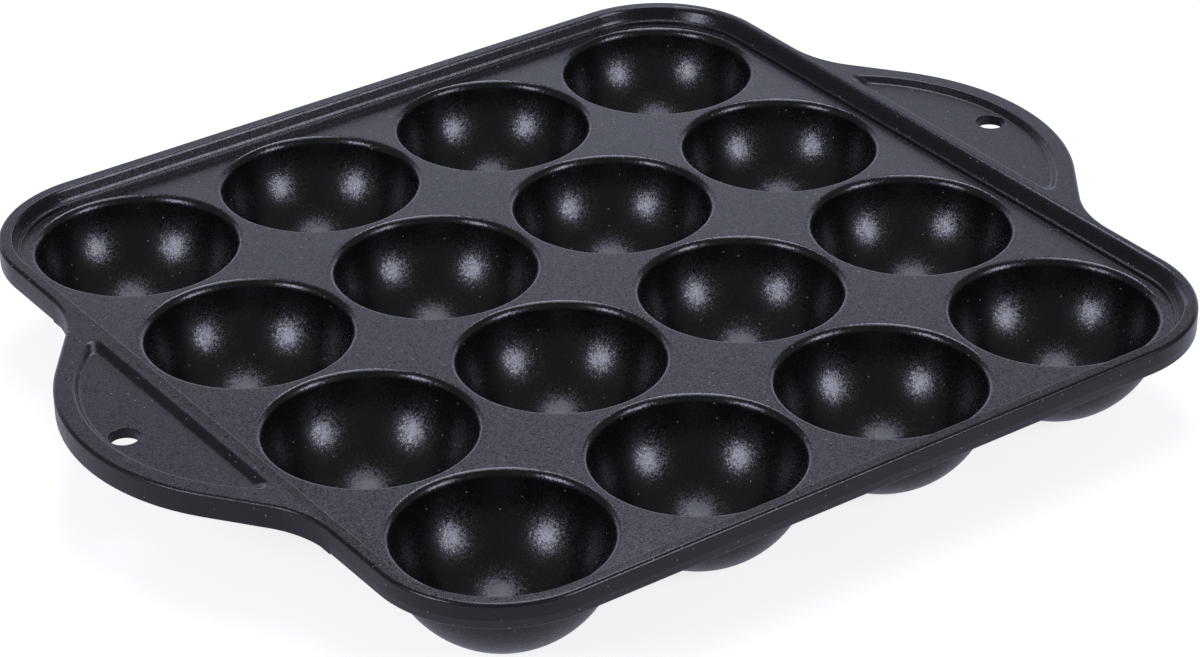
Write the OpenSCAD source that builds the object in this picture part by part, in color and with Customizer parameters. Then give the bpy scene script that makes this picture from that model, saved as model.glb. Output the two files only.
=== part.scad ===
// Sixteen-cup takoyaki pan: one non-stick coated aluminium casting, drawn as its named regions.
// The origin is at the pan's middle, on the surface that the cups' feet stand on. +X runs
// through the two handles and +Z is up. Every region meets its neighbours face to face, so
// together they are the casting. The modules draw with the land, the flat top between the
// cups, at z = 0, and on_feet() lifts the drawing to its height.

/* [Cups] */
// Cups along each side of the square grid
cups_per_side = 4; // [2:1:5]
// Radius of the ball that the cup is hollowed out for
cup_r = 21.3; // [15:0.1:30]
// Height of the ball's centre above the land
ball_lift = 0.8; // [0:0.1:3]
// Wall of the cup where it meets the land
cup_wall = 1.6; // [1:0.05:3]
// Thickness of the cup's bottom over its flat foot
cup_bottom_t = 1.5; // [1:0.1:2.3]
// Radius of the rounded lip between the land and the cup
lip_r = 1.6; // [0.5:0.1:2.2]
// Land that each cup keeps around its rounded lip
cup_collar = 0.1; // [0.1:0.05:1]
// Gap between two neighbouring cups at their widest
cup_gap = 0.2; // [0.1:0.05:10]

/* [Land and rim] */
// Thickness of the land
land_t = 2; // [1.6:0.1:3]
// Land left between the outer cups' lips and the foot of the rim
rim_gap = 1.05; // [0.05:0.05:4]
// Height of the rim's top above the land
rim_h = 3.5; // [3:0.1:6]
// Height of the ledge on the rim's inner side
ledge_h = 0.7; // [0.5:0.1:1.6]
// Slope of the rim's foot, measured inwards to outwards
foot_slope = 0.1; // [0.1:0.05:1.5]
// Width of the ledge
ledge_w = 0.8; // [0.5:0.05:3]
// Slope of the step from the ledge to the rim's top
step_slope = 0.8; // [0.1:0.1:2]
// Radius of the rounded edge between the step and the rim's top
step_edge_r = 1.2; // [0.3:0.1:1.6]
// Width of the rim from the top of the step to the outer wall
rim_top_w = 3.1; // [2.5:0.1:6]
// Radius of the rim's rounded outer shoulder
shoulder_r = 0.8; // [0.2:0.1:1.5]
// Radius of the pan's corners at the outer wall
corner_r = 27; // [20:0.5:32]

/* [Handles] */
// How far each handle stands out from the outer wall
handle_reach = 22.4; // [16:0.1:34]
// Radius of the handle's outer arc
handle_arc_r = 48; // [40:0.5:52]
// Angle from the handle's middle at which its arc turns into a straight flank
handle_flank_angle = 37; // [30:0.5:42]
// Radius of the hollow corner where the flank runs into the outer wall
handle_fillet_r = 24; // [10:0.5:28]
// Height of the handle's top above the land
handle_top_h = 3.5; // [3:0.1:6]
// Depth of the shallow recess in the handle's top
recess_depth = 1.4; // [0.6:0.1:2]
// Width of the raised border outside the recess
recess_border = 4.1; // [3:0.1:8]
// Distance from the outer wall to the recess
recess_inset = 0.6; // [0.3:0.1:4]
// How far the recess walls lean inwards on their way down
recess_slope = 1.6; // [0.4:0.1:2.4]
// Radius of the recess's two pointed corners
recess_corner_r = 2.6; // [2.5:0.1:4]
// Thickness of the web under the recess, where the hanging hole is
web_t = 2.2; // [1.2:0.1:3]
// Width of the border around the pocket under the handle
pocket_border = 3; // [2:0.1:5]

/* [Hanging holes] */
// Diameter of the hanging hole
hole_d = 6.2; // [4:0.1:8]
// Distance from the handle's outermost point to the hole's centre
hole_inset = 9; // [8.5:0.1:12]

/* [Hidden] */
$fn = 96;
// Overlap of a cutting shape past the face that it cuts
eps = 0.5;
// Thickness of the slabs that a sloping recess is drawn between
slab = 0.01;

// Cup, with the land at z = 0: the outer wall, the foot, the two ends of the lip, and the pitch
cup_outer_r = cup_r + cup_wall;
foot_z = ball_lift - cup_r - cup_bottom_t;
lip_edge_r = sqrt(pow(cup_r + lip_r, 2) - pow(lip_r + ball_lift, 2));
lip_low_z = ball_lift - cup_r * (lip_r + ball_lift) / (cup_r + lip_r);
collar_r = lip_edge_r + cup_collar;
cup_pitch = 2 * max(cup_outer_r, collar_r) + cup_gap;

// Rim, as distances inwards from the outer wall
step_top = rim_top_w;
step_base = step_top + step_slope;
ledge_in = step_base + ledge_w;
rim_w = ledge_in + foot_slope;
step_lean = atan(step_slope / (rim_h - ledge_h));
step_edge_x = step_top - step_edge_r * (1 - sin(step_lean)) / cos(step_lean);

// Pan, seen from above
grid_half = (cups_per_side - 1) * cup_pitch / 2;
tray_half = grid_half + lip_edge_r + rim_gap;
pan_half = tray_half + rim_w;
straight_half = pan_half - corner_r;

// Handle, seen from above
handle_out = pan_half + handle_reach;
handle_c = handle_out - handle_arc_r;
flank_x = cos(handle_flank_angle);
flank_y = sin(handle_flank_angle);
fillet_cx = pan_half + handle_fillet_r;
fillet_cy = (handle_c * flank_x + handle_arc_r + handle_fillet_r - fillet_cx * flank_x) / flank_y;
strip_in = pan_half - shoulder_r;
floor_z = handle_top_h - recess_depth;
web_z = floor_z - web_t;
hole_x = handle_out - hole_inset;

// Cups are numbered by row, from the front, and by column, from the left

// Lifts a drawing so that the cups' feet are at z = 0, and turns it about the pan's middle
module on_feet(turn = 0) {
    translate([0, 0, -foot_z]) rotate([0, 0, turn]) children();
}

// Where the cup of a row and a column has its centre
function cup_place(row, column) = [(column - 1) * cup_pitch - grid_half, (row - 1) * cup_pitch - grid_half];

// Outline of a cup's cavity: a part of a circle under a rounded lip
module cavity_section() {
    intersection() {
        translate([0, ball_lift]) circle(r = cup_r);
        translate([0, foot_z]) square([cup_r + eps, lip_low_z - foot_z]);
    }
    difference() {
        translate([0, lip_low_z - slab]) square([lip_edge_r, eps + slab - lip_low_z]);
        translate([lip_edge_r, -lip_r]) circle(r = lip_r);
    }
}

// Outline of a cup's metal: a quarter ring, cut flat at the foot, with a collar level with the land
module cup_section() {
    difference() {
        union() {
            intersection() {
                circle(r = cup_outer_r);
                translate([0, foot_z]) square([cup_outer_r, -foot_z - land_t]);
            }
            translate([0, -land_t - eps]) square([collar_r, land_t + eps]);
        }
        cavity_section();
    }
}

module cup(row, column) {
    color("#1b1c1f")
        on_feet()
            translate(cup_place(row, column)) rotate_extrude() cup_section();
}

// A square with rounded corners, whose side is at half from the middle
module rounded_square(half, r) {
    square([2 * half, 2 * (half - r)], center = true);
    square([2 * (half - r), 2 * half], center = true);
    for (sx = [-1, 1], sy = [-1, 1])
        translate([sx * (half - r), sy * (half - r)]) circle(r = r);
}

module land_plate() {
    color("#4a4b52")
        on_feet()
            translate([0, 0, -land_t])
                linear_extrude(land_t)
                    difference() {
                        rounded_square(pan_half, corner_r);
                        for (row = [1 : cups_per_side], column = [1 : cups_per_side])
                            translate(cup_place(row, column)) circle(r = collar_r);
                    }
}

// Section of the rim above the land, with its outer wall at x = wall and the pan's middle at x < wall
module rim_section(wall) {
    polygon([
        [wall - rim_w, 0],
        [wall - ledge_in, ledge_h],
        [wall - step_base, ledge_h],
        [wall - step_edge_x - step_edge_r * cos(step_lean), rim_h - step_edge_r * (1 - sin(step_lean))],
        [wall - step_edge_x, rim_h],
        [wall - shoulder_r, rim_h],
        [wall, rim_h - shoulder_r],
        [wall, 0]
    ]);
    translate([wall - step_edge_x, rim_h - step_edge_r]) circle(r = step_edge_r);
    translate([wall - shoulder_r, rim_h - shoulder_r]) circle(r = shoulder_r);
}

// One side of the rim, on +X, with half of a corner at each end
module rim_side() {
    rotate([90, 0, 0])
        linear_extrude(2 * straight_half, center = true) rim_section(pan_half);
    for (s = [0, 1])
        mirror([0, s, 0])
            translate([straight_half, straight_half, 0])
                rotate_extrude(angle = 45) rim_section(corner_r);
}

// A side that carries a handle gives up its rounded shoulder along the handle
module rim_side_with_handle() {
    difference() {
        rim_side();
        translate([strip_in, -fillet_cy, -eps]) cube([shoulder_r + eps, 2 * fillet_cy, rim_h + 2 * eps]);
    }
}

module rim_front() { color("#3c3d42") on_feet(-90) rim_side(); }
module rim_back() { color("#3c3d42") on_feet(90) rim_side(); }
module rim_left() { color("#3c3d42") on_feet(180) rim_side_with_handle(); }
module rim_right() { color("#3c3d42") on_feet() rim_side_with_handle(); }

// Outline of the handle on +X: an arc, two straight flanks and two hollow corners
module handle_outline() {
    intersection() {
        translate([handle_c, 0]) circle(r = handle_arc_r);
        translate([pan_half, -handle_arc_r]) square([handle_reach + eps, 2 * handle_arc_r]);
    }
    difference() {
        polygon([
            [pan_half, -fillet_cy],
            [fillet_cx - handle_fillet_r * flank_x, -fillet_cy + handle_fillet_r * flank_y],
            [handle_c + handle_arc_r * flank_x, -handle_arc_r * flank_y],
            [handle_c + handle_arc_r * flank_x, handle_arc_r * flank_y],
            [fillet_cx - handle_fillet_r * flank_x, fillet_cy - handle_fillet_r * flank_y],
            [pan_half, fillet_cy]
        ]);
        for (s = [-1, 1])
            translate([fillet_cx, s * fillet_cy]) circle(r = handle_fillet_r);
    }
}

// Outline of the recess, drawn in by a margin, with rounded points
module recess_outline(margin) {
    arc_r = handle_arc_r - recess_border - margin - recess_corner_r;
    side = pan_half + recess_inset + margin + recess_corner_r;
    offset(r = recess_corner_r)
        intersection() {
            translate([handle_c, 0]) circle(r = arc_r);
            translate([side, -handle_arc_r]) square([handle_arc_r, 2 * handle_arc_r]);
        }
}

// The recess is open at the top and narrows to its floor
module recess() {
    hull() {
        translate([0, 0, floor_z]) linear_extrude(slab) recess_outline(recess_slope);
        translate([0, 0, handle_top_h]) linear_extrude(slab) recess_outline(0);
    }
}

// The pocket under the handle keeps the casting's wall even
module pocket() {
    translate([0, 0, -land_t - eps])
        linear_extrude(web_z + land_t + eps)
            intersection() {
                translate([handle_c, 0]) circle(r = handle_arc_r - pocket_border);
                translate([pan_half + pocket_border, -handle_arc_r])
                    square([handle_arc_r, 2 * handle_arc_r]);
            }
}

// One handle, on +X, with the strip that stands in for the rim's shoulder
module handle() {
    difference() {
        union() {
            translate([0, 0, -land_t]) linear_extrude(land_t + handle_top_h) handle_outline();
            translate([strip_in, -fillet_cy, 0]) cube([shoulder_r, 2 * fillet_cy, handle_top_h]);
        }
        recess();
        pocket();
        translate([hole_x, 0, -land_t - eps]) cylinder(d = hole_d, h = land_t + handle_top_h + 2 * eps);
    }
}

module handle_left() { color("#45464b") on_feet(180) handle(); }
module handle_right() { color("#45464b") on_feet() handle(); }

for (row = [1 : cups_per_side], column = [1 : cups_per_side])
    cup(row, column);
land_plate();
rim_front();
rim_back();
rim_left();
rim_right();
handle_left();
handle_right();
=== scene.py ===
# %% [markdown]
# # A takoyaki pan
# The real object is one aluminium casting: a square plate with sixteen hemispherical cups, a low
# stepped rim and two tab handles, all under one black non-stick coat. The CAD model gives its
# regions as separate nodes. Here each region gets a finer mesh, with the small fillets that a
# casting always has, because a glossy coat shows its edges mostly by how they catch the light.
# Blender counts in metres, so a size is written as a number of millimetres times MM.

# %% Load the frame
import math

import bmesh
import bpy
from mathutils import Matrix, Vector


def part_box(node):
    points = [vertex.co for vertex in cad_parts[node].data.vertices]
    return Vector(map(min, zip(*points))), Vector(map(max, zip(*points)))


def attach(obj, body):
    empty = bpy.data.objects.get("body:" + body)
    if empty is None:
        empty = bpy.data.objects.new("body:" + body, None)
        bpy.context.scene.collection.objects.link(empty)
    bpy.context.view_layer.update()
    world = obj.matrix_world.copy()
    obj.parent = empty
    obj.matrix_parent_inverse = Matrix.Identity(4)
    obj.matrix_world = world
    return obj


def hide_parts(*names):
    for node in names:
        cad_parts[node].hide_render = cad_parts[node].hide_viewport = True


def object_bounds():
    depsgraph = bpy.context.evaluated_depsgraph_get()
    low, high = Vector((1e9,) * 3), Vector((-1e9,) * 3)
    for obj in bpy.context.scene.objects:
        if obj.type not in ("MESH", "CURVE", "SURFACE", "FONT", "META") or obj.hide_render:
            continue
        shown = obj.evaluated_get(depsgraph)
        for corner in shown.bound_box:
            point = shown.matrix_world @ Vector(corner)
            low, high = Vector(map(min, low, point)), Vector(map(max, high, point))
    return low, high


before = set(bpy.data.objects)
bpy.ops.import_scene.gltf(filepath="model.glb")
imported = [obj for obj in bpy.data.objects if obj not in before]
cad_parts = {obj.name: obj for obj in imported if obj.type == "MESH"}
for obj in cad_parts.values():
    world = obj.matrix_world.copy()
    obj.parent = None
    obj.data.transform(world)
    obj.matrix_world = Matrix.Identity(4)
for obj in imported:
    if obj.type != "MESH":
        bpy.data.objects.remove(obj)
cad_low, cad_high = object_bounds()
MM = 0.001
print("CAD box in mm:", [round(v / MM, 1) for v in (*cad_low, *cad_high)])

# %% [markdown]
# ## The camera
# The sixteen round mouths stand on a square grid, so their ellipses in the picture give the
# camera. It stands 31 degrees above the pan, in front of it and to the left, with a long lens.
# A camera is easiest to read as the point it looks at, two angles, a distance and a small roll.
# The lens and the sensor are in millimetres, as on a real camera.

# %% Camera
LAND_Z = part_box("land_plate")[1].z
AIM = Vector((-10.35 * MM, -18.91 * MM, LAND_Z))
CAMERA_AZIMUTH = math.radians(-125.32)
CAMERA_ELEVATION = math.radians(30.54)
CAMERA_DISTANCE = 776.1 * MM
CAMERA_ROLL = math.radians(0.695)
CAMERA_LENS = 113.53
SENSOR_WIDTH = 36
VIEW_LIMIT = 20  # metres


def direction(azimuth, elevation):
    """A unit vector towards a compass angle, turned up by an elevation."""
    flat = math.cos(elevation)
    return Vector((flat * math.cos(azimuth), flat * math.sin(azimuth), math.sin(elevation)))


camera = bpy.data.objects.new("camera", bpy.data.cameras.new("camera"))
camera.data.sensor_width = SENSOR_WIDTH
camera.data.lens = CAMERA_LENS
camera.data.clip_end = VIEW_LIMIT
camera.location = AIM + CAMERA_DISTANCE * direction(CAMERA_AZIMUTH, CAMERA_ELEVATION)
look = (AIM - camera.location).to_track_quat("-Z", "Y").to_matrix()
camera.rotation_euler = (look @ Matrix.Rotation(-CAMERA_ROLL, 3, "Z")).to_euler()
bpy.context.scene.collection.objects.link(camera)
bpy.context.scene.camera = camera
bpy.context.scene.view_settings.view_transform = "Standard"
print("camera at", [round(v / MM) for v in camera.location], "mm")

# %% [markdown]
# ## Places from the frame
# The boxes of the CAD nodes say where each region is: the grid of the cups, the land, the outer
# wall and the handles. Whatever is placed by these numbers stays right if the CAD model changes.
# Only the two radii, of the pan's corners and of the rim's outer shoulder, aren't in a box.

# %% Places
GRID = range(1, 5)
CUPS = [(row, column) for row in GRID for column in GRID]
first_low, first_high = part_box("cup_r1c1")
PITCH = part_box("cup_r1c2")[0].x - first_low.x
FIRST = (first_low.x + first_high.x) / 2
LAND_T = LAND_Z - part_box("land_plate")[0].z
PAN_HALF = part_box("land_plate")[1].x
RIM_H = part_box("rim_front")[1].z - LAND_Z
HANDLE_OUT, HANDLE_HALF, handle_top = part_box("handle_right")[1]
HANDLE_H = handle_top - LAND_Z
SHOULDER_R = 0.8 * MM
CORNER_R = 27 * MM
CORNER_AT = PAN_HALF - CORNER_R
print("pitch", round(PITCH / MM, 2), "mm, land at", round(LAND_Z / MM, 2), "mm")
print("outer wall at", round(PAN_HALF / MM, 2), "mm")


def cup_centre(row, column):
    return FIRST + (column - 1) * PITCH, FIRST + (row - 1) * PITCH


# %% [markdown]
# ## Helpers for meshes
# Nearly every surface here is a section carried around a path: the cups turn about an axis, and
# the rim and the handles' edges follow an outline. So the main helpers round the corners of a
# section, join rings of points with quads, and fill a flat outline that may have holes.

# %% Lines and arcs
def arc(centre, radius, start, end, steps):
    """Points on an arc, angles in radians, both ends included."""
    turns = [start + (end - start) * k / steps for k in range(steps + 1)]
    return [(centre[0] + radius * math.cos(a), centre[1] + radius * math.sin(a)) for a in turns]


def circle(centre, radius, count):
    return arc(centre, radius, 0, 2 * math.pi, count)[:-1]


def rounded(corners, steps=6):
    """A line through (x, y, radius) corners, each with a fillet of its radius but for the ends."""
    points = [corners[0][:2]]
    for before, (x, y, radius), after in zip(corners, corners[1:], corners[2:]):
        here = Vector((x, y))
        back = (Vector(before[:2]) - here).normalized()
        ahead = (Vector(after[:2]) - here).normalized()
        half = back.angle(ahead) / 2
        centre = here + (back + ahead).normalized() * radius / math.sin(half)
        start = here + back * radius / math.tan(half) - centre
        end = here + ahead * radius / math.tan(half) - centre
        turn = math.atan2(start.x * end.y - start.y * end.x, start.dot(end))
        angle = math.atan2(start.y, start.x)
        points += arc(centre, radius, angle, angle + turn, steps)
    return points + [corners[-1][:2]]


def lift(points, height):
    """Flat points at a height above the land."""
    return [(x, y, LAND_Z + height) for x, y in points]


# %% Faces
def ring(mesh, points):
    return [mesh.verts.new(p) for p in points]


def join_rings(mesh, rings, closed):
    """Quads between neighbouring rings with equally many points; closed rings run around."""
    for low, high in zip(rings, rings[1:]):
        count = len(low)
        for k in range(count if closed else count - 1):
            n = (k + 1) % count
            mesh.faces.new((low[k], low[n], high[n], high[k]))


def fill(mesh, *loops):
    """A flat face inside the first loop, with the other loops as its holes."""
    edges = []
    for loop in loops:
        for a, b in zip(loop, loop[1:] + loop[:1]):
            edges.append(mesh.edges.get((a, b)) or mesh.edges.new((a, b)))
    bmesh.ops.triangle_fill(mesh, edges=edges, use_beauty=True, use_dissolve=False)


# %% Pieces
WELD = 0.002 * MM
SLIVER = 0.001 * MM


def finish_piece(mesh, name, node, material, sharp=40):
    """Cleans a mesh, makes it an object that replaces a CAD node, and lets it ride on the pan.

    An edge that bends by more than sharp, in degrees, is shaded as a hard edge.
    """
    bmesh.ops.remove_doubles(mesh, verts=mesh.verts, dist=WELD)
    bmesh.ops.dissolve_degenerate(mesh, edges=mesh.edges, dist=SLIVER)
    bmesh.ops.recalc_face_normals(mesh, faces=mesh.faces)
    data = bpy.data.meshes.new(name)
    mesh.to_mesh(data)
    mesh.free()
    data.shade_smooth()
    data.set_sharp_from_angle(angle=math.radians(sharp))
    data.materials.append(material)
    piece = bpy.data.objects.new(name, data)
    bpy.context.scene.collection.objects.link(piece)
    even = piece.modifiers.new("even shading on flats", "WEIGHTED_NORMAL")
    even.keep_sharp = True
    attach(piece, "root")
    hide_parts(node)
    return piece


# %% [markdown]
# ## Shader maths
# A finish is easier to read as a formula than as a list of links. The class `Value` wraps a
# socket, and each operator on it adds the Math node that does the same. Every other node comes
# from the one method `add`, which takes a node's type, its settings and what its sockets get.

# %% Shader maths
class Value:
    """A socket that can be used in an expression."""

    def __init__(self, nodes, socket):
        self.nodes = nodes
        self.socket = socket

    def math(self, operation, first, second):
        return self.nodes.add("ShaderNodeMath", {"operation": operation}, {0: first, 1: second})

    def __add__(self, other):
        return self.math("ADD", self, other)

    def __radd__(self, other):
        return self.math("ADD", other, self)

    def __mul__(self, other):
        return self.math("MULTIPLY", self, other)

    def __rmul__(self, other):
        return self.math("MULTIPLY", other, self)

    def __lt__(self, other):
        return self.math("LESS_THAN", self, other)


class Nodes:
    """The node tree of a material or a world."""

    def __init__(self, owner):
        owner.use_nodes = True
        self.tree = owner.node_tree
        self.tree.nodes.clear()

    def add(self, kind, settings=None, inputs=None, output=0):
        """Adds a node: first its settings, then its sockets. Returns one of its outputs."""
        node = self.tree.nodes.new(kind)
        for key, setting in (settings or {}).items():
            setattr(node, key, setting)
        for key, given in (inputs or {}).items():
            if isinstance(given, Value):
                self.tree.links.new(given.socket, node.inputs[key])
            else:
                node.inputs[key].default_value = given
        return Value(self, node.outputs[output]) if node.outputs else node

    def place(self):
        """The point being shaded, in metres, in the pan's own frame."""
        return self.add("ShaderNodeTexCoord", output="Object")

    def noise(self, size, detail):
        """Noise from 0 to 1 whose blots are about as large as size, with finer layers on top."""
        inputs = {"Vector": self.place(), "Scale": 1 / size, "Detail": detail}
        return self.add("ShaderNodeTexNoise", inputs=inputs)

    def cells(self, size, output):
        """Cells about as large as size: each has a random Color, and a Distance from its middle."""
        inputs = {"Vector": self.place(), "Scale": 1 / size}
        return self.add("ShaderNodeTexVoronoi", inputs=inputs, output=output)

    def stretch(self, value, low, high, to_low=0.0, to_high=1.0):
        """Maps the range from low to high onto another one, and stops at its ends."""
        inputs = {"Value": value, "From Min": low, "From Max": high}
        inputs |= {"To Min": to_low, "To Max": to_high}
        return self.add("ShaderNodeMapRange", inputs=inputs)

    def vector(self, operation, *given):
        return self.add("ShaderNodeVectorMath", {"operation": operation}, dict(enumerate(given)))

    def mix(self, factor, first, second):
        """Blends two colours, which have sockets 6 and 7 of the node and output 2."""
        inputs = {0: factor, 6: first, 7: second}
        return self.add("ShaderNodeMix", {"data_type": "RGBA"}, inputs, output=2)

    def ray(self, kind):
        """1 for rays of a kind, such as Is Camera Ray, and 0 for all others."""
        return self.add("ShaderNodeLightPath", output=kind)


# %% [markdown]
# ## The non-stick coat
# The coat is sprayed: black, satin, and full of fine mica flakes. Each flake lies at its own
# slant, so a lamp's reflection breaks up into a cloud of sparks instead of a smooth blot. Real
# flakes are far too many to model. A Voronoi texture stands in for them: every cell has a random
# colour, and that colour, read as a vector, leans the normal. A few cells of a coarser texture
# are pale specks, and fine noise makes the tone sandy.
#
# One function makes four coats. The cups' tone is the blackest, as painted shade for the hollows,
# and their coat is also the least sandy, and its flakes lean the most. The rim's and the handles'
# are a little duller than the land's, as in the photo, so they have a lower index of refraction.

# %% Coat
FLAKE = 0.30 * MM
GLOSS_SPREAD = 0.3
SAND = 0.34 * MM
CLOUD = 12 * MM
CLOUD_DEPTH = 0.1
NOISE_RANGE = (0.3, 0.7)
SPECK_PITCH = 1.3 * MM
SPECK_EDGE = (0.16, 0.10)  # where a speck fades in, as a distance from its cell's middle
SPECK_COLOUR = (0.20, 0.20, 0.22, 1)


def coat(name, tone, gloss, lean, sand, specks, ior=1.5):
    """A coat with a mean colour, roughness (gloss) and index of refraction (ior).

    No flake leans by more than lean / 2 along an axis, sand is the share by which the tone
    varies, and specks is the share of coarse cells that hold a speck.
    """
    material = bpy.data.materials.new(name)
    f = Nodes(material)
    flake = f.cells(FLAKE, "Color")
    slant = f.vector("MULTIPLY_ADD", flake, (lean,) * 3, (-lean / 2,) * 3)
    upright = f.add("ShaderNodeNewGeometry", output="Normal")
    normal = f.vector("NORMALIZE", f.vector("ADD", upright, slant))
    flake_luck = f.add("ShaderNodeSeparateColor", inputs={0: flake})
    roughness = gloss * f.stretch(flake_luck, 0.0, 1.0, 1 - GLOSS_SPREAD, 1 + GLOSS_SPREAD)

    cloud = f.stretch(f.noise(CLOUD, detail=3), *NOISE_RANGE, 1 - CLOUD_DEPTH, 1 + CLOUD_DEPTH)
    shade = f.stretch(f.noise(SAND, detail=1), *NOISE_RANGE, 1 - sand, 1 + sand) * cloud
    ground = f.add("ShaderNodeVectorMath", {"operation": "SCALE"}, {0: tone, "Scale": shade})
    speck_luck = f.add("ShaderNodeSeparateColor", inputs={0: f.cells(SPECK_PITCH, "Color")})
    speck = f.stretch(f.cells(SPECK_PITCH, "Distance"), *SPECK_EDGE) * (speck_luck < specks)

    finish = {
        "Base Color": f.mix(speck, ground, SPECK_COLOUR),
        "Roughness": roughness,
        "IOR": ior,
        "Normal": normal,
    }
    surface = f.add("ShaderNodeBsdfPrincipled", inputs=finish)
    f.add("ShaderNodeOutputMaterial", inputs={"Surface": surface})
    return material


# %% Four coats
LIVELY = {"lean": 0.09, "sand": 0.3, "specks": 0.08}
SANDY = {"lean": 0.05, "sand": 0.4, "specks": 0.16}
# The cups' darker tone is painted shade: the same coat as the land, darkened for the hollows, while
# its sand and flakes are the coat's own.
CUP_COAT_WITH_PAINTED_SHADE = coat("cup coat with painted shade", (0.004, 0.004, 0.0048), gloss=0.24, **LIVELY)
TOP_COAT = coat("top coat", (0.010, 0.0105, 0.0135), gloss=0.24, **SANDY)
RIM_COAT = coat("rim coat", (0.009, 0.0095, 0.0115), gloss=0.24, ior=1.4, **SANDY)
HANDLE_COAT = coat("handle coat", (0.009, 0.0095, 0.0125), gloss=0.31, ior=1.4, **SANDY)
print("coats:", [made.name for made in (CUP_COAT_WITH_PAINTED_SHADE, TOP_COAT, RIM_COAT, HANDLE_COAT)])

# %% [markdown]
# ## The cups
# A cup is turned: one section, carried around its axis. Inside, the ball runs into the lip, and
# the lip into the land. The lip is the bright line around each mouth, so its shape matters more
# than its size: it is a wide arc below and a tighter one above, which meet where the surface
# slopes by 45 degrees. Below the plate the outside is a larger sphere, cut flat where the cup
# stands. All sixteen share the section, so a loop makes them.

# %% Cup section
MOUTH_R = 22.587 * MM
HIGH_LIP_R = 1.192 * MM
LOW_LIP_R = 2.2 * MM
LIP_MEETING = math.radians(135)
BALL_LIFT = 0.8 * MM
COLLAR_R = 22.874 * MM
CUP_GAP = 0.2 * MM
CUP_OUTER_R = (PITCH - CUP_GAP) / 2
CUP_DEPTH = LAND_Z - first_low.z
FOOT_CUT_IN = 0.3 * MM
FOOT_CUT_UP = 0.075 * MM
SEGMENTS = 128
BOWL_STEPS = 40


def cup_section():
    """Points (radius, height above the land), from the middle inside to the middle underneath."""
    shift = LOW_LIP_R - HIGH_LIP_R
    low_r = MOUTH_R - shift * math.cos(LIP_MEETING)
    low_z = -HIGH_LIP_R - shift * math.sin(LIP_MEETING)
    reach = math.hypot(low_r, BALL_LIFT - low_z)
    slope = math.asin((BALL_LIFT - low_z) / reach)
    inside = arc((0, BALL_LIFT), reach - LOW_LIP_R, -math.pi / 2, -slope, BOWL_STEPS)
    lip = arc((low_r, low_z), LOW_LIP_R, math.pi - slope, LIP_MEETING, steps=10)
    lip += arc((MOUTH_R, -HIGH_LIP_R), HIGH_LIP_R, LIP_MEETING, math.pi / 2, steps=8)
    collar = [(COLLAR_R, 0), (COLLAR_R, -LAND_T)]
    start = -math.asin(LAND_T / CUP_OUTER_R)
    stop = -math.asin((CUP_DEPTH - FOOT_CUT_UP) / CUP_OUTER_R)
    outside = arc((0, 0), CUP_OUTER_R, start, stop, BOWL_STEPS)
    foot_r = math.sqrt(CUP_OUTER_R**2 - CUP_DEPTH**2) - FOOT_CUT_IN
    return inside + lip[1:] + collar + outside + [(foot_r, -CUP_DEPTH), (0, -CUP_DEPTH)]


def turned(section, centre):
    """A section turned about the upright line through a centre."""
    mesh = bmesh.new()
    rings = []
    for x, y in circle((0, 0), 1, SEGMENTS):
        points = [(centre[0] + r * x, centre[1] + r * y, LAND_Z + z) for r, z in section]
        rings.append(ring(mesh, points))
    join_rings(mesh, rings + rings[:1], closed=False)
    return mesh


# %% Cups
CUP_SECTION = cup_section()
for row, column in CUPS:
    place = f"r{row}c{column}"
    mesh = turned(CUP_SECTION, cup_centre(row, column))
    finish_piece(mesh, "bowl_" + place, "cup_" + place, CUP_COAT_WITH_PAINTED_SHADE, sharp=50)
print("cups:", len(CUPS), "with", len(CUP_SECTION), "points in the section")

# %% [markdown]
# ## The land
# The plate between the cups is flat, so its top and bottom are filled outlines with sixteen round
# holes. Its edge is the lower part of the pan's outer wall, with a small round at the bottom.

# %% Land
RUN = 10 * MM  # a straight run into or out of a fillet, which is cut off again
BOTTOM_ROUND = 0.5 * MM
BOTTOM_EDGE = rounded([(0, 0, 0), (0, -LAND_T, BOTTOM_ROUND), (RUN, -LAND_T, 0)])[:-1]


def pan_outline(inset):
    """The pan's outline seen from above, drawn in by inset, counterclockwise."""
    points = []
    for quarter, (sx, sy) in enumerate(((1, 1), (-1, 1), (-1, -1), (1, -1))):
        start = quarter * math.pi / 2
        corner = (sx * CORNER_AT, sy * CORNER_AT)
        points += arc(corner, CORNER_R - inset, start, start + math.pi / 2, steps=24)
    return points


mesh = bmesh.new()
wall = [ring(mesh, lift(pan_outline(inset), height)) for inset, height in BOTTOM_EDGE]
join_rings(mesh, wall, closed=True)
holes = []
for row, column in CUPS:
    mouth = circle(cup_centre(row, column), COLLAR_R, SEGMENTS)
    hole = [ring(mesh, lift(mouth, 0)), ring(mesh, lift(mouth, -LAND_T))]
    join_rings(mesh, hole, closed=True)
    holes.append(hole)
fill(mesh, wall[0], *[top for top, bottom in holes])
fill(mesh, wall[-1], *[bottom for top, bottom in holes])
finish_piece(mesh, "land", "land_plate", TOP_COAT)
print("land:", len(holes), "holes")

# %% [markdown]
# ## The rim
# Seen in section, the rim stands up from the land, runs flat as a ledge, steps up again over a
# soft hollow, and ends in a flat top with a tight outer shoulder. Each corner gets its own
# fillet: these are the lines of light that one sees. A small flat breaks the step's top edge,
# but on the right side that edge is one soft round, as in the photo. The section follows the
# pan's outline, one side at a time. Along a handle it stops at the shoulder, where the handle's
# top takes over.

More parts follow.
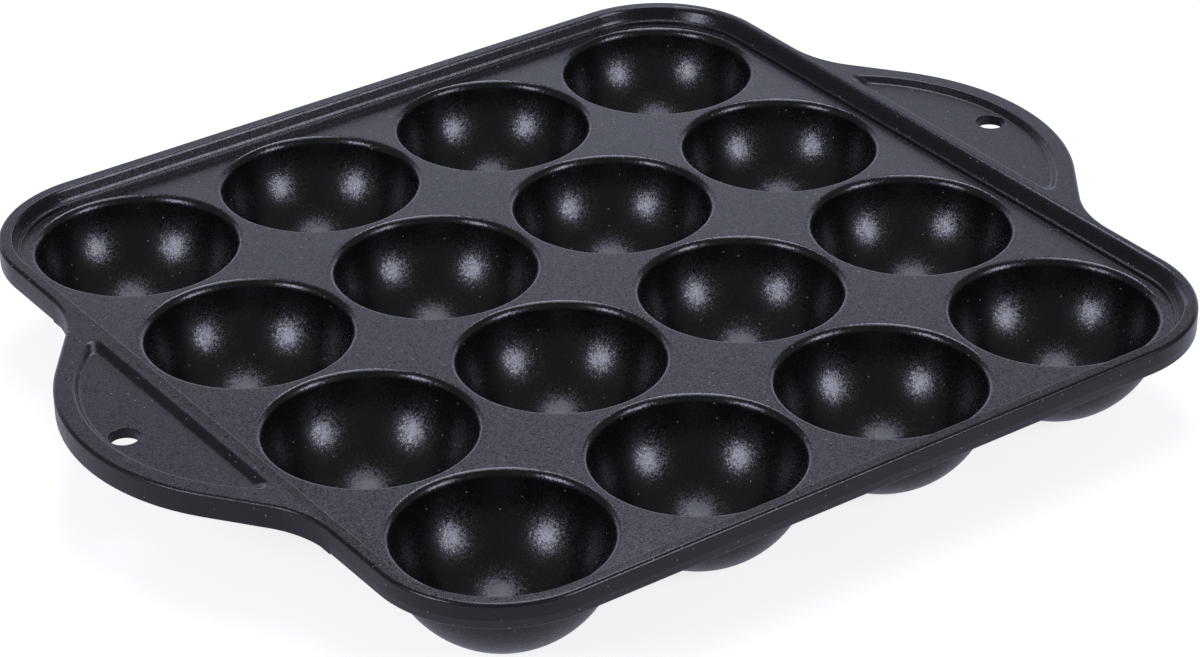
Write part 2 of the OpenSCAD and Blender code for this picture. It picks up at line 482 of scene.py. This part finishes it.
# %% Rim section
# Corners as (distance inwards, height above the land, radius of the fillet).
RIM_W = 4.8 * MM
LEDGE = [(RIM_W, 0, 0), (4.7 * MM, 0.7 * MM, 0.3 * MM)]
HOLLOW = [(4.05 * MM, 0.65 * MM, 0.25 * MM), (3.72 * MM, 1.25 * MM, 0.4 * MM)]
SHARP_EDGE = [(3.15 * MM, 2.9 * MM, 0.4 * MM), (2.85 * MM, RIM_H, 0.45 * MM)]
SOFT_EDGE = [(2.6 * MM, RIM_H, 1.9 * MM)]
OUTSIDE = [(0, RIM_H, SHOULDER_R), (0, 0, 0)]
SHARP_RIM = rounded(LEDGE + HOLLOW + SHARP_EDGE + OUTSIDE, steps=8)
SOFT_RIM = rounded(LEDGE + HOLLOW + SOFT_EDGE + OUTSIDE, steps=8)
print("rim sections:", len(SHARP_RIM), "and", len(SOFT_RIM), "points")


# %% Rim path
def side_path():
    """The outer wall on +X with half of a corner at each end: points and outward normals."""
    path = []
    for y, start, end in ((-CORNER_AT, -math.pi / 4, 0), (CORNER_AT, 0, math.pi / 4)):
        for nx, ny in arc((0, 0), 1, start, end, steps=16):
            path.append((CORNER_AT + CORNER_R * nx, y + CORNER_R * ny, nx, ny))
    return path


def rim_side(name, path, sections, turn):
    """Joins up closed sections, one at each point of a path, and turns them to one side."""
    mesh = bmesh.new()
    spin = Matrix.Rotation(turn, 3, "Z")
    rings = []
    for (x, y, nx, ny), section in zip(path, sections):
        points = [Vector((x - nx * inset, y - ny * inset, LAND_Z + z)) for inset, z in section]
        rings.append(ring(mesh, [spin @ point for point in points]))
    join_rings(mesh, rings, closed=True)
    mesh.faces.new(rings[0])
    mesh.faces.new(rings[-1])
    finish_piece(mesh, name + "_casting", name, RIM_COAT)


# %% Rim sides
path = side_path()
for name, turn in (("rim_front", -math.pi / 2), ("rim_back", math.pi / 2)):
    rim_side(name, path, [SHARP_RIM] * len(path), turn)

# At each end of a handle two points lie in one place, so the section changes there at once.
half = len(path) // 2
ends = [(PAN_HALF, side * HANDLE_HALF, 1, 0) for side in (-1, -1, 1, 1)]
path = path[:half] + ends + path[half:]
for name, turn, section in (("rim_right", 0, SOFT_RIM), ("rim_left", math.pi, SHARP_RIM)):
    short = [(max(inset, SHOULDER_R), z) for inset, z in section]
    rim_side(name, path, [section] * (half + 1) + [short] * 2 + [section] * (half + 1), turn)
print("rim:", len(path), "sections beside a handle")

# %% [markdown]
# ## The handles
# Each handle is a flat tab: an arc with two straight flanks that sweep into the pan's side. Its
# top holds a shallow recess with soft walls, shaped like a slice of the same arc, and the hanging
# hole goes through the recess floor. Underneath, a pocket keeps the metal even. The outline is a
# formula, and each wall is the outline again, a little further in and further down.

# %% Handle outlines
HANDLE_ARC_R = 48 * MM
HANDLE_C = HANDLE_OUT - HANDLE_ARC_R
FLANK = math.radians(37)
SWEEP_R = 24 * MM


def handle_edge():
    """The handle's edge from one swept corner to the other: points and outward normals."""
    path = []
    sweep_x = PAN_HALF + SWEEP_R
    for nx, ny in arc((0, 0), 1, 0, -FLANK, steps=16):
        path.append((sweep_x - SWEEP_R * nx, -HANDLE_HALF - SWEEP_R * ny, nx, ny))
    for nx, ny in arc((0, 0), 1, -FLANK, FLANK, steps=48):
        path.append((HANDLE_C + HANDLE_ARC_R * nx, HANDLE_ARC_R * ny, nx, ny))
    for nx, ny in arc((0, 0), 1, FLANK, 0, steps=16):
        path.append((sweep_x - SWEEP_R * nx, HANDLE_HALF - SWEEP_R * ny, nx, ny))
    return path


def slice_outline(radius, side, corner):
    """A slice of a disc about the handle's centre, cut at x = side, with rounded points."""
    across = side + corner - HANDLE_C
    up = math.sqrt((radius - corner) ** 2 - across**2)
    spread = math.atan2(up, across)
    bow = arc((HANDLE_C, 0), radius, -spread, spread, steps=48)
    upper = arc((side + corner, up), corner, spread, math.pi, steps=10)
    lower = arc((side + corner, -up), corner, math.pi, 2 * math.pi - spread, steps=10)
    return bow[:-1] + upper + lower[:-1]


# %% Handle sizes
RECESS_DEPTH = 1.4 * MM
RECESS_BORDER = 4.1 * MM
RECESS_INSET = 0.6 * MM
RECESS_SLOPE = 1.1 * MM
RECESS_CORNER = 1.5 * MM
RECESS_FILLET = 0.8 * MM
WEB_T = 2.4 * MM
FLOOR_H = HANDLE_H - RECESS_DEPTH
WEB_H = FLOOR_H - WEB_T
HOLE_R = 3.1 * MM
HOLE_X = HANDLE_OUT - 9 * MM
HOLE_ROUND = 0.2 * MM
HOLE_STEPS = 48
POCKET_BORDER = 3 * MM
POCKET_CORNER = 1.2 * MM
STRIP_IN = PAN_HALF - SHOULDER_R
print("web at the hole:", round(WEB_T / MM, 2), "mm thick")

# %% Handle walls
# Walls as (distance from the outline, height). The recess counts its heights from the top.
SHOULDER = arc((SHOULDER_R, HANDLE_H - SHOULDER_R), SHOULDER_R, math.pi / 2, math.pi, steps=8)
RECESS_TOP = (0, 0, RECESS_FILLET)
RECESS_FOOT = (RECESS_SLOPE, -RECESS_DEPTH, RECESS_FILLET)
RECESS_WALL = rounded([(-RUN, 0, 0), RECESS_TOP, RECESS_FOOT, (RUN, -RECESS_DEPTH, 0)])[1:-1]
HOLE_TOP = (0, FLOOR_H, HOLE_ROUND)
HOLE_FOOT = (0, WEB_H, HOLE_ROUND)
HOLE_WALL = rounded([(RUN, FLOOR_H, 0), HOLE_TOP, HOLE_FOOT, (RUN, WEB_H, 0)])[1:-1]


def outer_wall():
    """Rings of the outer wall, from the edge of the top to the edge of the bottom."""
    rings = []
    for inset, height in SHOULDER + BOTTOM_EDGE:
        points = [(x - nx * inset, y - ny * inset) for x, y, nx, ny in handle_edge()]
        if height < 0:
            points = [(max(x, PAN_HALF), y) for x, y in points]
        rings.append(lift(points, height))
    return rings


def recess_outline(margin):
    radius = HANDLE_ARC_R - RECESS_BORDER - margin
    return slice_outline(radius, PAN_HALF + RECESS_INSET + margin, RECESS_CORNER)


def close_inner_side(mesh, wall, near, far):
    """The side towards the pan: up to the rim's cut shoulder, its two ends, and below the land."""
    at_land = len(SHOULDER)
    upper, lower = wall[: at_land + 1], wall[at_land:]
    mesh.faces.new((wall[0][0], wall[0][-1], far, near))
    mesh.faces.new((near, far, wall[at_land][-1], wall[at_land][0]))
    mesh.faces.new([level[0] for level in upper] + [near])
    mesh.faces.new([level[-1] for level in upper] + [far])
    mesh.faces.new([level[0] for level in lower] + [level[-1] for level in reversed(lower)])


# %% Handles
def handle(name, node, turn):
    mesh = bmesh.new()
    spin = Matrix.Rotation(turn, 3, "Z")

    def loop(points):
        return ring(mesh, [spin @ Vector(p) for p in points])

    wall = [loop(points) for points in outer_wall()]
    join_rings(mesh, wall, closed=False)

    recess = [loop(lift(recess_outline(margin), HANDLE_H + z)) for margin, z in RECESS_WALL]
    join_rings(mesh, recess, closed=True)
    fill(mesh, wall[0], recess[0])

    hole = [loop(lift(circle((HOLE_X, 0), HOLE_R + d, HOLE_STEPS), z)) for d, z in HOLE_WALL]
    join_rings(mesh, hole, closed=True)
    fill(mesh, recess[-1], hole[0])

    edge = slice_outline(HANDLE_ARC_R - POCKET_BORDER, PAN_HALF + POCKET_BORDER, POCKET_CORNER)
    pocket = [loop(lift(edge, height)) for height in (WEB_H, -LAND_T)]
    join_rings(mesh, pocket, closed=True)
    fill(mesh, pocket[0], hole[-1])
    fill(mesh, wall[-1], pocket[1])

    near, far = loop(lift([(STRIP_IN, -HANDLE_HALF), (STRIP_IN, HANDLE_HALF)], 0))
    close_inner_side(mesh, wall, near, far)
    return finish_piece(mesh, name, node, HANDLE_COAT)


for name, turn in (("handle_right", 0), ("handle_left", math.pi)):
    piece = handle(name + "_casting", name, turn)
    print(name, "has", len(piece.data.polygons), "faces")

# %% [markdown]
# ## The stage
# The pan stands on a pale floor, and a pale backdrop behind it is what the flat land reflects.
# Light Path tells the kinds of rays apart, so the floor can look white to the camera while it
# sends only a little light back to the pan. The lamps' shadow on it stays, soft and faint. The
# low part of the backdrop is brighter. The far side of the land is seen at the lowest angle, so
# it reflects most of that part. The floor lies a hair below the feet, so that no two surfaces
# share a plane.

# %% Pale finish
WHITE = (1, 1, 1, 1)
COOL = (0.78, 0.81, 1.0, 1)
GREY = (0.45, 0.45, 0.45, 1)


def pale(name, to_camera, to_gloss):
    """A matt grey that glows white to the camera, and cool in mirrors and through clear things."""
    material = bpy.data.materials.new(name)
    f = Nodes(material)
    mirrored = f.ray("Is Glossy Ray") + f.ray("Is Transmission Ray")
    white = {"Color": WHITE, "Strength": f.ray("Is Camera Ray") * to_camera}
    cool = {"Color": COOL, "Strength": mirrored * to_gloss}
    surface = f.add("ShaderNodeBsdfDiffuse", inputs={"Color": GREY})
    for glow in (white, cool):
        light = f.add("ShaderNodeEmission", inputs=glow)
        surface = f.add("ShaderNodeAddShader", inputs={0: surface, 1: light})
    f.add("ShaderNodeOutputMaterial", inputs={"Surface": surface})
    return material


def stage_plane(name, corners, material):
    data = bpy.data.meshes.new(name)
    data.from_pydata(corners, [], [range(4)])
    data.materials.append(material)
    piece = bpy.data.objects.new(name, data)
    bpy.context.scene.collection.objects.link(piece)


# %% Floor and backdrop
FLOOR_HALF = 4.0
FLOOR_Z = cad_low.z - 0.02 * MM
BACKDROP_DISTANCE = 1.5
BACKDROP_HALF = 1.6
BACKDROP_SPLIT = 0.55
BACKDROP_TOP = 0.97
floor_corners = [(x, y, FLOOR_Z) for x, y in circle((0, 0), FLOOR_HALF, 4)]
stage_plane("floor", floor_corners, pale("floor", to_camera=0.80, to_gloss=0.34))

away = direction(CAMERA_AZIMUTH + math.pi, 0)
across = Vector((-away.y, away.x, 0)) * BACKDROP_HALF
ends = [away * BACKDROP_DISTANCE - across, away * BACKDROP_DISTANCE + across]
low_part = ("low backdrop", 0, BACKDROP_SPLIT, 1.5)
high_part = ("high backdrop", BACKDROP_SPLIT, BACKDROP_TOP, 1.0)
for name, low, high, to_gloss in (low_part, high_part):
    corners = [end + Vector((0, 0, low)) for end in ends]
    corners += [end + Vector((0, 0, high)) for end in reversed(ends)]
    stage_plane(name, corners, pale(name, to_camera=0.9, to_gloss=to_gloss))
print("stage: a floor, and a backdrop in two parts", BACKDROP_DISTANCE, "m away")

# %% [markdown]
# ## Lamps
# Each cup shows three soft sparks of light, one for each of three lamps. Reflecting the line of
# sight in the hemisphere at each spark gives the lamp's direction: one far left, one to the right
# in front, and one nearly overhead. A hollow mirror swaps the sides, so the left spark in a cup
# comes from the right-hand lamp. How the sparks shift from cup to cup gives the distances. The
# fourth lamp, at the back, shows only on lips and on the edges of the rim. All are round, small
# and about a metre away.

# %% Lamps
def lamp(name, azimuth, elevation, distance, size, watts):
    """A round lamp that points at the pan's middle: angles in degrees, lengths in metres."""
    data = bpy.data.lights.new(name, "AREA")
    data.shape = "DISK"
    data.size = size
    data.energy = watts
    data.color = COOL[:3]
    piece = bpy.data.objects.new(name, data)
    centre = Vector((0, 0, LAND_Z))
    piece.location = centre + distance * direction(math.radians(azimuth), math.radians(elevation))
    piece.rotation_euler = (centre - piece.location).to_track_quat("-Z", "Y").to_euler()
    bpy.context.scene.collection.objects.link(piece)
    print(name, "at", [round(v, 2) for v in piece.location], "m")


lamp("left lamp", azimuth=-175.7, elevation=27, distance=0.81, size=0.316, watts=2.7)
lamp("right lamp", azimuth=-64.8, elevation=24.6, distance=1.12, size=0.437, watts=4.9)
lamp("top lamp", azimuth=42, elevation=82, distance=1.0, size=0.53, watts=2.8)
lamp("back lamp", azimuth=52, elevation=56, distance=1.0, size=0.40, watts=3.6)

# %% [markdown]
# ## World
# The photo's background is white, but white light from all sides would turn a black pan grey. So
# the camera sees a white world, and every other ray meets a dim one.

# %% World
WORLD_LIGHT = 0.17
world = bpy.data.worlds.new("studio")
bpy.context.scene.world = world
w = Nodes(world)
strength = WORLD_LIGHT + (1 - WORLD_LIGHT) * w.ray("Is Camera Ray")
sky = w.add("ShaderNodeBackground", inputs={"Color": WHITE, "Strength": strength})
w.add("ShaderNodeOutputWorld", inputs={"Surface": sky})
print("world light:", WORLD_LIGHT)
